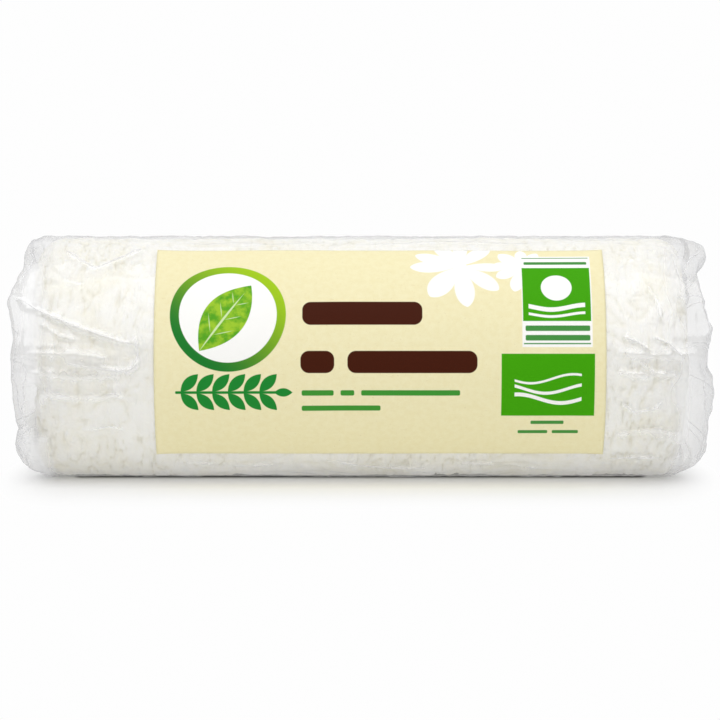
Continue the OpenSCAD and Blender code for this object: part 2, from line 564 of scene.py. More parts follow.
def corner_paths(points):
    """Paths along the corners of the ends, wandering a little, with a width at each point."""
    count, columns = points.shape[:2]
    paths = []
    for side, start, first, last in CORNER_TUCKS:
        turns = np.linspace(first, last, 24)
        line, width = [], []
        for i, turn in enumerate(turns):
            row = start + 1.1 * math.sin(0.31 * i + first) + 0.5 * math.sin(0.83 * i + last)
            column = film_column(turn)
            low_row, low_column = int(row), int(column)
            spot = np.zeros(3)
            for j, row_share in ((0, 1 - row % 1), (1, row % 1)):
                for k, column_share in ((0, 1 - column % 1), (1, column % 1)):
                    at = low_row + j if side < 0 else count - 1 - low_row - j
                    spot += points[at, (low_column + k) % columns] * row_share * column_share
            line.append(spot)
            width.append(math.sin(math.pi * (i + 0.5) / len(turns)) ** 0.7)
        paths.append((np.array(line), 0.15 * MM * np.array(width)))
    return paths


def tuck_paths(points, settings):
    """Paths along some of the pleats' crests, from the middle of an end over its rim."""
    rng = np.random.default_rng(51)
    count, columns = points.shape[:2]
    paths = []
    angle = film_angles()
    left_out, lift = 0.55, 0.00003
    for side in (-1, 1):
        from_middle = np.arange(3, 46)
        if side > 0:
            from_middle = count - 1 - from_middle
        crest = pleat_height(angle, 1.0, side, settings.pleats)
        tops = np.flatnonzero((crest > np.roll(crest, 1)) & (crest >= np.roll(crest, -1)))
        for top in tops:
            if rng.random() < left_out:
                continue
            inner, outer = rng.integers(0, 9), FACE_STEPS + rng.integers(6, 17)
            line, width = [], []
            for step in range(inner, outer):
                row = from_middle[step]
                share = min((step + 4) / FACE_STEPS, 1.0) ** FACE_SPACING
                twist = END_TWIST[side] * (1 - share)
                column = film_column(angle[top] - twist + 0.9 * math.sin(step * 0.5 + top))
                i, part = int(column), column % 1
                spot = points[row, i] * (1 - part) + points[row, (i + 1) % columns] * part
                line.append(spot + np.array([side * lift, 0, 0]))
                gone = (step - inner) / (outer - inner - 1)
                width.append(math.sin(math.pi * min(max(gone, 0.03), 0.97)) ** 0.5)
            size = rng.uniform(0.045, 0.10) * MM
            paths.append((np.array(line), size * np.array(width)))
    return paths


def cheese_rows(settings):
    """The cheese's surface as rows of points, and how deep in a wrinkle each one is."""
    r = settings.diameter / 2 / MM
    half = settings.length / 2 / MM
    depth = settings.wrinkle / MM
    corner = settings.shoulder / MM
    columns, resting_gap, squareness = 250, 0.16, 2.15
    angle = -90 + 360 * np.arange(columns) / columns
    face_steps, turn_steps, side_steps = 24, 12, 296
    stations = [("face", i / face_steps) for i in range(1, face_steps)]
    stations += [("turn", 1 - i / turn_steps) for i in range(turn_steps)]
    rows, grooves = [], []

    def add(x, radius, out, up):
        """A ring at x and radius, pushed along the surface's own direction by the rind."""
        height, groove = rind_relief(x + 0 * angle, angle + 0 * x, depth)
        # Under the label the cheese fills the film, so that no dark gap shows at its edges.
        cover = label_cover(x + 0 * angle, angle, 1.2)
        height = height * (1 - cover) + (0.12 + label_waves(x + 0 * angle, angle)) * cover
        shift = 0.2 * np.sin(np.radians(angle) * 3 + np.sign(x) * 1.3) * abs(out)
        spot = x + np.sign(x) * out * (height + shift) * 1.2
        reach = np.maximum(radius + up * height, 0.02)
        rows.append(on_log(spot + 0 * angle, angle, under_flat(reach, angle, resting_gap)))
        grooves.append(groove)

    def end(side, steps):
        for kind, share in steps:
            if kind == "face":
                dish = 0.75 * ease(share, 0.7, 1.0) - 0.9
                add(side * (half + dish + 0.012 * share), (r - corner) * share, 1, 0.3)
            else:
                out, up = squared_quarter(share, squareness)
                add(side * (half - corner + corner * out), r - corner * (1 - up), out, up)

    end(-1, stations)
    for i in range(side_steps + 1):
        add(-(half - corner) + 2 * (half - corner) * i / side_steps, r, 0, 1)
    end(1, stations[::-1])
    centre = (half - 1.0) * MM
    ends = [(-centre, 0, rest_height() * MM), (centre, 0, rest_height() * MM)]
    return np.array(rows), ends, np.array(grooves)


def new_object(name, data):
    made = bpy.data.objects.new(name, data)
    bpy.context.collection.objects.link(made)
    return made


def lofted(name, rows, ends, marks):
    """A closed mesh through rings of points, with a point at each end and named marks."""
    count, columns = rows.shape[:2]
    points = rows.reshape(-1, 3).tolist() + [list(e) for e in ends]
    low, high = count * columns, count * columns + 1
    faces = []
    for j in range(count - 1):
        for i in range(columns):
            k = (i + 1) % columns
            a, b = j * columns, (j + 1) * columns
            faces.append((a + i, a + k, b + k, b + i))
    faces += [(low, (i + 1) % columns, i) for i in range(columns)]
    last = (count - 1) * columns
    faces += [(high, last + i, last + (i + 1) % columns) for i in range(columns)]
    mesh = bpy.data.meshes.new(name)
    mesh.from_pydata(points, [], faces)
    mesh.polygons.foreach_set("use_smooth", [True] * len(mesh.polygons))
    for mark, values in marks.items():
        layer = mesh.attributes.new(mark, "FLOAT", "POINT")
        flat = np.append(values.reshape(-1), [values[0].mean(), values[-1].mean()])
        layer.data.foreach_set("value", flat)
    mesh.update()
    return new_object(name, mesh)


# ---------------------------------------------------------------- materials


class Wire:
    """A number on a node's socket, which arithmetic adds Math nodes to."""

    def __init__(self, recipe, socket):
        self.recipe, self.socket = recipe, socket

    def math(self, operation, *values):
        node = self.recipe.node(
            "ShaderNodeMath", {"operation": operation}, dict(enumerate((self, *values)))
        )
        return Wire(self.recipe, node.outputs[0])

    def __add__(self, other):
        return self.math("ADD", other)

    __radd__ = __add__

    def __sub__(self, other):
        return self.math("SUBTRACT", other)

    def __rsub__(self, other):
        return (self * -1) + other

    def __mul__(self, other):
        return self.math("MULTIPLY", other)

    __rmul__ = __mul__

    def __truediv__(self, other):
        return self.math("DIVIDE", other)

    def __pow__(self, other):
        return self.math("POWER", other)

    def __abs__(self):
        return self.math("ABSOLUTE")

    def least(self, other):
        return self.math("MINIMUM", other)

    def most(self, other):
        return self.math("MAXIMUM", other)

    def sine(self):
        return self.math("SINE")

    def root(self):
        return self.math("SQRT")

    def between(self, low, high):
        """0 at low and 1 at high, and smooth between them."""
        node = self.recipe.node(
            "ShaderNodeMapRange", {"interpolation_type": "SMOOTHSTEP"},
            {"Value": self, "From Min": low, "From Max": high},
        )
        return Wire(self.recipe, node.outputs[0])


class Nodes:
    """A tree of nodes that starts empty."""

    def __init__(self, tree):
        self.tree = tree
        tree.nodes.clear()

    def node(self, kind, settings=None, inputs=None):
        made = self.tree.nodes.new(kind)
        for name, value in (settings or {}).items():
            setattr(made, name, value)
        for key, value in (inputs or {}).items():
            if isinstance(value, Wire):
                value = value.socket
            if isinstance(value, bpy.types.NodeSocket):
                self.tree.links.new(value, made.inputs[key])
            elif isinstance(value, (tuple, list)) and len(value) == 3 and (
                made.inputs[key].type == "RGBA"
            ):
                made.inputs[key].default_value = (*value, 1)
            else:
                made.inputs[key].default_value = value
        return made


class Recipe(Nodes):
    """The nodes of one material, or of the world."""

    def __init__(self, name, world=False):
        self.owner = (bpy.data.worlds if world else bpy.data.materials).new(name)
        self.owner.use_nodes = True
        super().__init__(self.owner.node_tree)

    def object_space(self):
        return self.node("ShaderNodeTexCoord").outputs["Object"]

    def scaled(self, vector, scale):
        return self.node(
            "ShaderNodeVectorMath", {"operation": "MULTIPLY"}, {0: vector, 1: scale}
        ).outputs[0]

    def noise(self, vector, scale, detail=3.0, roughness=0.5, distortion=0.0):
        node = self.node(
            "ShaderNodeTexNoise", None,
            {"Vector": vector, "Scale": scale, "Detail": detail, "Roughness": roughness,
             "Distortion": distortion},
        )
        return Wire(self, node.outputs[0])

    def mark(self, name):
        node = self.node("ShaderNodeAttribute", {"attribute_name": name})
        return Wire(self, node.outputs["Fac"])

    def blend(self, share, first, second):
        """A colour between two others."""
        node = self.node(
            "ShaderNodeMix", {"data_type": "RGBA"}, {0: share, 6: first, 7: second}
        )
        return node.outputs[2]

    def mixed(self, share, first, second):
        node = self.node("ShaderNodeMixShader", None, {0: share, 1: first, 2: second})
        return node.outputs[0]

    def bump(self, height, strength, distance):
        node = self.node(
            "ShaderNodeBump", None,
            {"Height": height, "Strength": strength, "Distance": distance},
        )
        return node.outputs[0]

    def split(self, vector):
        node = self.node("ShaderNodeSeparateXYZ", None, {0: vector})
        return [Wire(self, axis) for axis in node.outputs]

    def facing(self):
        """0 where the surface is seen face on, and 1 where it is seen edge on."""
        node = self.node("ShaderNodeLayerWeight", None, {"Blend": 0.5})
        return Wire(self, node.outputs["Facing"])

    def seen(self):
        """1 where the surface is seen directly, and 0 where it only lights others."""
        return self.node("ShaderNodeLightPath").outputs["Is Camera Ray"]

    def clear(self, colour):
        return self.node("ShaderNodeBsdfTransparent", None, {"Color": colour}).outputs[0]

    def principled(self, inputs, settings=None):
        return self.node("ShaderNodeBsdfPrincipled", settings, inputs).outputs[0]

    def finish(self, shader, output="ShaderNodeOutputMaterial"):
        self.node(output, None, {"Surface": shader})
        return self.owner


def rind_material(settings):
    """White bloom over cream paste, chalky and a little soft to light, with painted shade in
    its grooves.
    """
    r = Recipe("bloomy_rind")
    place = r.object_space()
    groove = r.mark("groove")
    patches = r.noise(place, 95.0, 3.0, 0.55, 0.6).between(0.44, 0.66)
    mottle = r.noise(place, 420.0, 3.0, 0.6).between(0.35, 0.7)
    speck = r.noise(place, 1500.0, 2.0, 0.6).between(0.56, 0.72)
    streaks = r.noise(r.scaled(place, (1.0, 0.32, 0.32)), 380.0, 3.0, 0.6, 1.0)
    thin = patches * 0.42 + mottle * 0.08 + groove * 0.6
    thin = (thin + streaks.between(0.50, 0.68) * 0.32 + speck * 0.06).least(1.0)
    colour = r.blend(thin, tuple(settings.rind), tuple(settings.paste))
    # Painted shade: the deeper grooves are darkened further, towards an olive grey, past the
    # paste colour that shows where the bloom is thin.
    colour = r.blend(groove.between(0.35, 1.0) * 0.35, colour, (0.60, 0.575, 0.48))
    pulled = r.noise(r.scaled(place, (1.0, 0.36, 0.36)), 620.0, 3.0, 0.6, 1.2)
    fluff = r.noise(place, 900.0, 4.0, 0.65) * 0.5 + pulled * 1.1
    return r.finish(r.principled({
        "Base Color": colour, "Roughness": 0.78 + 0.14 * mottle, "Specular IOR Level": 0.3,
        "Normal": r.bump(fluff, 0.7, 0.00045), "Subsurface Weight": 0.10,
        "Subsurface Radius": (1.0, 0.9, 0.7), "Subsurface Scale": 0.0009,
    }))


def film_material(settings):
    """Thin clear film: see-through face on, greyer edge on and where it is folded, with painted
    shade at its outlines and painted highlight near the ends and on ridges.
    """
    r = Recipe("clear_film")
    place = r.object_space()
    folded, ridge = r.mark("haze"), r.mark("ridge")
    fine = r.noise(r.scaled(place, (1.0, 0.30, 0.30)), 520.0, 3.0, 0.55, 0.9)
    coarse = r.noise(place, 95.0, 2.0, 0.5, 0.5)
    normal = r.bump((fine + coarse * 0.6) * (1.0 - 0.55 * folded), 0.8, 0.00045)
    facing = r.facing()
    edge = facing ** 3.0
    milky = r.principled({
        "Base Color": tuple(settings.milk), "Roughness": 0.3, "Normal": normal,
        "Specular IOR Level": 0.5,
    })
    # A pale matt body that is mixed in as painted highlight, in patches near the ends and along
    # the ridges.
    painted_highlight_white = r.principled({
        "Base Color": (0.95, 0.95, 0.955), "Roughness": 0.45, "Normal": normal,
    })
    # A grey matt body for the painted shade at the film's outlines.
    grey = r.principled({
        "Base Color": (0.42, 0.42, 0.445), "Roughness": 0.4, "Specular IOR Level": 0.3,
    })
    gloss = r.principled({
        "Base Color": (0.96, 0.96, 0.97), "Metallic": 1.0,
        "Roughness": 0.10 + 0.10 * coarse, "Normal": normal,
    }, {"distribution": "GGX"})
    haze = (0.02 + 0.25 * folded + 0.16 * edge).least(0.85)
    shine = (0.062 + 0.05 * folded + 0.20 * edge + 0.09 * ridge).least(0.7)
    body = r.mixed(haze, r.clear((0.992, 0.992, 0.99)), milky)
    # Painted highlight: the pale matt body is mixed in by the painted-reflection patches near
    # the ends and along the ridges, in place of glints.
    body = r.mixed((0.5 * r.mark("white")).most(0.4 * ridge), body, painted_highlight_white)
    # Painted shade: edge on, the grey matt body is mixed in, darkening the film's outlines.
    body = r.mixed(0.6 * facing ** 7.0, body, grey)
    return r.finish(r.mixed(shine, body, gloss))


def tuck_and_highlight_material():
    """Film rolled on itself: whiter than one layer, and patchy along its length; the white also
    serves as painted highlight along the creases.
    """
    r = Recipe("rolled_film_and_highlight")
    uneven = r.noise(r.object_space(), 700.0, 2.0, 0.6)
    white = r.principled({
        "Base Color": (0.93, 0.93, 0.94), "Roughness": 0.3, "Specular IOR Level": 0.6,
    })
    share = 0.25 + 0.5 * uneven.between(0.35, 0.65) * r.mark("haze") + 0.15 * r.facing()
    return r.finish(r.mixed(share.least(0.9), r.clear((1.0, 1.0, 1.0)), white))


# ------------------------------------------------ the label's print


class Print:
    """Flat shapes on the label, in millimetres from its lower left corner."""

    SOFT = 0.07

    def __init__(self, recipe, across, up):
        self.r, self.u, self.v = recipe, across, up

    def ink(self, distance, soft=None):
        """1 inside a shape and 0 outside, from the distance to its edge."""
        soft = soft or self.SOFT
        return 1 - distance.between(-soft, soft)

    def bar(self, left, low, right, high, corner=0.0):
        half_w, half_h = (right - left) / 2 - corner, (high - low) / 2 - corner
        dx = abs(self.u - (left + right) / 2) - half_w
        dy = abs(self.v - (low + high) / 2) - half_h
        if not corner:
            return self.ink(dx.most(dy))
        out = dx.most(0.0) ** 2.0 + dy.most(0.0) ** 2.0
        return self.ink(out.root() + dx.most(dy).least(0.0) - corner)

    def disc(self, x, y, radius):
        gap = (self.u - x) ** 2.0 + (self.v - y) ** 2.0
        return self.ink(gap.root() - radius)

    def turned(self, x, y, degrees):
        """Coordinates along and across a line that starts at x, y."""
        c, s = math.cos(math.radians(degrees)), math.sin(math.radians(degrees))
        du, dv = self.u - x, self.v - y
        return du * c + dv * s, dv * c - du * s

    def petal(self, x, y, degrees, length, width, fullness=0.62):
        """A petal from x, y outwards, widest at fullness of its length."""
        along, across = self.turned(x, y, degrees)
        share = (along / length).most(0.0)
        swell = (share ** (fullness / (1 - fullness)) * (1 - share).most(0.0)).most(0.0)
        peak = fullness ** (fullness / (1 - fullness)) * (1 - fullness)
        outline = (swell / peak) ** 0.62 * (width / 2)
        return self.ink(abs(across) - outline + 0.12, 0.10)

    def leaf(self, x, y, degrees, length, width):
        """A leaf pointed at both ends, from x, y outwards."""
        along, across = self.turned(x, y, degrees)
        share = (along / length - 0.5) * 2
        outline = (1 - share * share).most(0.0) * (width / 2)
        return self.ink(abs(across) - outline + 0.08, 0.06)

    def join(self, *inks):
        total = inks[0]
        for ink in inks[1:]:
            total = total.most(ink)
        return total


BADGE = (12.9, 27.2)
BIG_FLOWER = (53.6, 37.5)
BIG_PETALS = (
    (181, 8.8, 3.1), (157, 8.5, 3.1), (232, 8.7, 4.3), (278, 9.0, 3.7), (321, 8.7, 3.3),
    (358, 8.2, 2.4), (48, 8.0, 3.2), (88, 8.0, 2.8), (122, 8.0, 3.0),
)
SMALL_FLOWER = (64.6, 37.0)
SMALL_PETALS = (
    (204, 5.1, 2.5), (168, 5.2, 2.2), (134, 5.8, 2.9), (254, 5.5, 2.7), (92, 5.4, 2.4),
    (58, 5.2, 2.4),
)


def label_material(settings):
    """Cream paper with small fibres, printed with plain shapes in green, white and brown."""
    r = Recipe("printed_paper")
    uv = r.node("ShaderNodeUVMap", {"uv_map": "label_mm"}).outputs[0]
    p = Print(r, *r.split(uv)[:2])
    white, green, brown = (0.93, 0.925, 0.90), tuple(settings.green), tuple(settings.brown)

    # The paper: a fine mottle, short darker fibres and a few warm flecks.
    mottle = r.noise(uv, 0.9, 4.0, 0.6)
    fibre_space = r.scaled(uv, (0.55, 1.9, 1.0))
    fibre = r.noise(fibre_space, 1.6, 3.0, 0.6, 1.4).between(0.63, 0.74)
    fleck = r.noise(uv, 3.2, 2.0, 0.75, 0.5).between(0.665, 0.74)
    paper = r.blend(mottle.between(0.3, 0.7), tuple(settings.paper), (0.84, 0.77, 0.475))
    grit = r.noise(uv, 7.5, 2.0, 0.7).between(0.42, 0.72)
    paper = r.blend(fibre * 0.34 + grit * 0.16, paper, (0.71, 0.60, 0.33))
    paper = r.blend(fleck * 0.55, paper, (0.56, 0.43, 0.22))

    # White flowers behind everything else.
    petals = [p.petal(*BIG_FLOWER, *petal) for petal in BIG_PETALS]
    petals += [p.petal(*SMALL_FLOWER, *petal) for petal in SMALL_PETALS]
    petals += [p.disc(*BIG_FLOWER, 1.25), p.disc(*SMALL_FLOWER, 0.9)]
    colour = r.blend(p.join(*petals), paper, (0.945, 0.94, 0.915))

    # A round badge: a green rim round a white disc that holds one broad leaf.
    badge = p.disc(*BADGE, 10.15)
    glow = (p.u * 0.045 + p.v * 0.05 - 1.3).between(0.0, 1.5)
    badge_green = r.blend(glow, (0.012, 0.19, 0.025), (0.36, 0.58, 0.012))
    colour = r.blend(badge, colour, badge_green)
    colour = r.blend(p.disc(*BADGE, 8.55), colour, white)
    leaf = p.leaf(7.9, 20.6, 54, 15.4, 7.6)
    leaf_green = r.blend(
        r.noise(uv, 0.5, 3.0, 0.6).between(0.35, 0.65), (0.09, 0.36, 0.015), (0.33, 0.56, 0.03)
    )
    colour = r.blend(leaf, colour, leaf_green)
    veins = [p.leaf(7.2, 19.6, 54, 15.6, 0.55)]
    for i in range(3):
        x, y = 9.9 + 2.0 * i, 23.4 + 2.75 * i
        veins += [p.leaf(x, y, 96, 4.6 - 0.8 * i, 0.3), p.leaf(x, y, 12, 4.6 - 0.8 * i, 0.3)]
    colour = r.blend(p.join(*veins) * leaf, colour, (0.62, 0.78, 0.42))

    # A sprig under the badge.
    sprig = [p.bar(3.7, 13.1, 21.6, 13.6, 0.2)]
    for i in range(6):
        x = 4.6 + 2.75 * i
        sprig += [p.leaf(x, 13.4, 46, 4.6, 2.1), p.leaf(x, 13.3, -46, 4.6, 2.1)]
    sprig.append(p.leaf(20.9, 13.35, 0, 3.4, 1.7))
    colour = r.blend(p.join(*sprig), colour, (0.012, 0.235, 0.03))

    # Brown bars and thin green ones, where a name and a line of print would be.
    brown_bars = [
        p.bar(25.9, 25.3, 46.9, 29.6, 1.5),
        p.bar(25.6, 16.8, 31.5, 20.7, 1.5),
        p.bar(33.8, 16.8, 56.5, 20.7, 1.5),
    ]
    colour = r.blend(p.join(*brown_bars), colour, brown)
    thin_bars = [
        p.bar(25.8, 12.75, 31.4, 13.75, 0.3), p.bar(32.6, 12.75, 35.0, 13.75, 0.3),
        p.bar(36.2, 12.75, 53.5, 13.75, 0.3), p.bar(25.8, 9.9, 39.6, 10.9, 0.3),
    ]
    colour = r.blend(p.join(*thin_bars), colour, (0.05, 0.29, 0.035))

    # A white panel with a green square: a pale sun over two furrows.
    colour = r.blend(p.bar(64.35, 21.35, 76.6, 40.35), colour, white)
    square = p.bar(64.5, 26.0, 76.4, 37.15)
    wave = (p.u * 0.52).sine() * 0.45
    sun = p.disc(70.45, 32.6, 2.7)
    furrows = p.join(
        p.ink(abs(p.v - 28.6 - wave) - 0.42), p.ink(abs(p.v - 27.2 - wave * 0.8) - 0.24)
    )
    colour = r.blend(square, colour, green)
    inside = p.bar(65.5, 26.5, 75.4, 36.6)
    colour = r.blend(p.join(sun, furrows) * inside, colour, white)
    rows = [
        p.bar(64.6, 39.75, 76.3, 39.98), p.bar(64.6, 21.85, 76.3, 22.08),
        p.bar(64.9, 38.0, 76.0, 38.75, 0.2), p.bar(64.9, 24.2, 76.2, 25.2, 0.25),
        p.bar(64.9, 22.5, 76.2, 23.5, 0.25),
    ]
    colour = r.blend(p.join(*rows), colour, (0.06, 0.27, 0.055))

    # A wide green panel with rolling hills.
    colour = r.blend(p.bar(60.7, 8.95, 77.0, 20.2), colour, green)
    lines = []
    for i, height in enumerate((12.2, 14.0, 15.8)):
        hill = (p.u * 0.42 + 1.1 * i).sine() * 0.8
        lines.append(p.ink(abs(p.v - height - hill) - (0.34 - 0.07 * i)))
    panel_inside = p.bar(63.0, 9.6, 74.7, 19.6)
    colour = r.blend(p.join(*lines) * panel_inside, colour, white)
    small = [
        p.bar(65.9, 7.25, 71.7, 7.95, 0.2), p.bar(63.7, 5.25, 68.9, 5.95, 0.2),
        p.bar(69.7, 5.25, 74.3, 5.95, 0.2),
    ]
    colour = r.blend(p.join(*small), colour, (0.06, 0.27, 0.05))

    pulp = r.noise(uv, 5.5, 3.0, 0.6) * 0.5 + r.noise(fibre_space, 3.0, 3.0, 0.6, 1.0)
    return r.finish(r.principled({
        "Base Color": colour, "Roughness": 0.5 + 0.12 * mottle,
        "Normal": r.bump(pulp, 0.22, 0.00012), "Specular IOR Level": 0.08,
    }))


def paper_edge_material():
    """The bare edge and back of the label's paper."""
    r = Recipe("paper_edge")
    pulp = r.noise(r.object_space(), 2500.0, 2.0, 0.6)
    colour = r.blend(pulp, (0.88, 0.84, 0.70), (0.80, 0.75, 0.58))
    return r.finish(r.principled({"Base Color": colour, "Roughness": 0.8}))


# ---------------------------------------------------------------- rolled tucks of film


def tuck_nodes(material):
    """Geometry Nodes that roll a thin tuck of film along every path of a mesh."""
    tree = bpy.data.node_groups.new("rolled_tucks", "GeometryNodeTree")
    face = tree.interface
    face.new_socket(name="Paths", in_out="INPUT", socket_type="NodeSocketGeometry")
    sizes = {
        "Width": ("NodeSocketFloat", 1.0), "Sides": ("NodeSocketInt", 6),
        "Unevenness": ("NodeSocketFloat", 0.00003), "Seed": ("NodeSocketInt", 7),
        "Haze": ("NodeSocketFloat", 0.5),
    }
    for name, (kind, default) in sizes.items():
        socket = face.new_socket(name=name, in_out="INPUT", socket_type=kind)
        socket.default_value = default
    face.new_socket(name="Tucks", in_out="OUTPUT", socket_type="NodeSocketGeometry")

    node = Nodes(tree).node
    given = node("NodeGroupInput")
    width = node("GeometryNodeInputNamedAttribute", {"data_type": "FLOAT"}, {"Name": "width"})
    wide = node(
        "ShaderNodeMath", {"operation": "MULTIPLY"},
        {0: width.outputs[0], 1: given.outputs["Width"]},
    )
    drift = node(
        "FunctionNodeRandomValue", {"data_type": "FLOAT_VECTOR"},
        {"Min": (-1, -1, -1), "Max": (1, 1, 1), "Seed": given.outputs["Seed"]},
    )
    shift = node(
        "ShaderNodeVectorMath", {"operation": "SCALE"},
        {0: drift.outputs[0], "Scale": given.outputs["Unevenness"]},
    )
    moved = node(
        "GeometryNodeSetPosition", None,
        {"Geometry": given.outputs["Paths"], "Offset": shift.outputs[0]},
    )
    curves = node("GeometryNodeMeshToCurve", None, {"Mesh": moved.outputs[0]})
    section = node(
        "GeometryNodeCurvePrimitiveCircle", {"mode": "RADIUS"},
        {"Resolution": given.outputs["Sides"], "Radius": 1.0},
    )
    rolled = node(
        "GeometryNodeCurveToMesh", None,
        {
            "Curve": curves.outputs[0], "Profile Curve": section.outputs[0],
            "Scale": wide.outputs[0], "Fill Caps": True,
        },
    )
    marked = node(
        "GeometryNodeStoreNamedAttribute", {"data_type": "FLOAT", "domain": "POINT"},
        {"Geometry": rolled.outputs[0], "Name": "haze", "Value": given.outputs["Haze"]},
    )
    smooth = node("GeometryNodeSetShadeSmooth", None, {"Geometry": marked.outputs[0]})
    real = node("GeometryNodeRealizeInstances", None, {"Geometry": smooth.outputs[0]})
    coated = node(
        "GeometryNodeSetMaterial", None, {"Geometry": real.outputs[0], "Material": material}
    )
    node("NodeGroupOutput", None, {0: coated.outputs[0]})
    return tree


def rolled_tucks(name, paths, material, sizes):
    """A mesh of tucks along paths, each a list of points and of widths at them."""
    points, edges, widths = [], [], []
    for line, width in paths:
        start = len(points)
        points += line.tolist()
        widths += list(width)
        edges += [(start + i, start + i + 1) for i in range(len(line) - 1)]
    mesh = bpy.data.meshes.new(name + "_paths")
    mesh.from_pydata(points, edges, [])
    layer = mesh.attributes.new("width", "FLOAT", "POINT")
    layer.data.foreach_set("value", widths)
    source = new_object(name + "_paths", mesh)
    tree = tuck_nodes(material)
    modifier = source.modifiers.new("tucks", "NODES")
    modifier.node_group = tree
    sockets = {
        item.name: item.identifier for item in tree.interface.items_tree
        if item.in_out == "INPUT"
    }
    for key, value in sizes.items():
        modifier[sockets[key]] = value
    bpy.context.view_layer.update()
    ready = source.evaluated_get(bpy.context.evaluated_depsgraph_get())
    result = bpy.data.meshes.new_from_object(ready)
    source.modifiers.remove(modifier)
    bpy.data.objects.remove(source)
    result.name = name
    return new_object(name, result)


# ---------------------------------------------------------------- operators


class CHEESELOG_OT_cheese(bpy.types.Operator):
    """Build the cheese with its wrinkled rind"""

    bl_idname = "cheeselog.cheese"
    bl_label = "Cheese"

    def execute(self, context):
        settings = context.scene.cheese_settings
        rows, ends, grooves = cheese_rows(settings)
        made = lofted("cheese_log", rows, ends, {"groove": grooves})
        made.data.materials.append(rind_material(settings))
        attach(made, "root")
        return {"FINISHED"}


class CHEESELOG_OT_film(bpy.types.Operator):
    """Build the clear film with its creases and folded ends"""

    bl_idname = "cheeselog.film"
    bl_label = "Film"

    def execute(self, context):
        settings = context.scene.film_settings
        rows, ends, marks = film_rows(settings)
        made = lofted("film_wrap", rows, ends, marks)
        made.data.materials.append(film_material(settings))
        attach(made, "root")
        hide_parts("wrapped_log")
        # Painted highlight: the white cords along the side creases stand in for the creases'
        # bright lines; the tucks along the ends' pleats and corners are rolled film, and their
        # white partly stands in for highlight streaks too.
        paths = tuck_paths(rows, settings) + corner_paths(rows) + crease_paths(settings)
        tucks = rolled_tucks("film_tucks", paths, tuck_and_highlight_material(), {"Seed": 7, "Haze": 0.8})
        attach(tucks, "root")
        return {"FINISHED"}


class CHEESELOG_OT_label(bpy.types.Operator):
    """Build the printed paper label"""

    bl_idname = "cheeselog.label"
    bl_label = "Label"

    def execute(self, context):
        settings = context.scene.label_settings
        film = context.scene.film_settings.diameter / 2 / MM
        left, right = LABEL_BOX[0][0] / MM, LABEL_BOX[1][0] / MM
        low, high = math.degrees(settings.low_angle), math.degrees(settings.high_angle)
        thick = settings.thickness / MM
        across, up = 158, 86
        # Millimetres that the paper lies off the film: all over, and more at its corners.
        gap, corner_lift = 0.03, 0.16
        x, angle = np.meshgrid(
            np.linspace(left, right, across + 1), np.linspace(low, high, up + 1)
        )
        inner = film + label_waves(x, angle) + gap
        edge = np.maximum(np.abs(x - (left + right) / 2) - (right - left) / 2 + 5, 0) / 5
        rise = np.maximum(np.abs(angle - (low + high) / 2) - (high - low) / 2 + 10, 0) / 10
        inner = inner + corner_lift * (edge * rise) ** 2
        outside, inside = on_log(x, angle, inner + thick), on_log(x, angle, inner)
        points = np.concatenate([outside.reshape(-1, 3), inside.reshape(-1, 3)])
        width, layer = across + 1, (across + 1) * (up + 1)
        faces, slots = [], []
        for j in range(up):
            for i in range(across):
                a = j * width + i
                faces.append((a, a + 1, a + width + 1, a + width))
                faces.append(tuple(layer + n for n in (a, a + width, a + width + 1, a + 1)))
                slots += [0, 1]
        rim = list(range(width))
        rim += [j * width + across for j in range(1, up + 1)]
        rim += [up * width + i for i in range(across - 1, -1, -1)]
        rim += [j * width for j in range(up - 1, 0, -1)]
        for n, a in enumerate(rim):
            b = rim[(n + 1) % len(rim)]
            faces.append((b, a, layer + a, layer + b))
            slots.append(1)
        mesh = bpy.data.meshes.new("paper_label")
        mesh.from_pydata(points.tolist(), [], faces)
        mesh.polygons.foreach_set("material_index", slots)
        mesh.polygons.foreach_set("use_smooth", [s == 0 for s in slots])
        uv = mesh.uv_layers.new(name="label_mm")
        arc = (angle - low) * math.pi / 180 * (film + thick)
        flat = np.stack([x - left, arc], axis=-1).reshape(-1, 2)
        corners = np.empty(len(mesh.loops), dtype=np.int64)
        mesh.loops.foreach_get("vertex_index", corners)
        uv.data.foreach_set("uv", flat[corners % layer].reshape(-1))
        mesh.update()
        made = new_object("paper_label", mesh)
        made.data.materials.append(label_material(settings))
        made.data.materials.append(paper_edge_material())
        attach(made, "root")
        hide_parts("label")
        return {"FINISHED"}


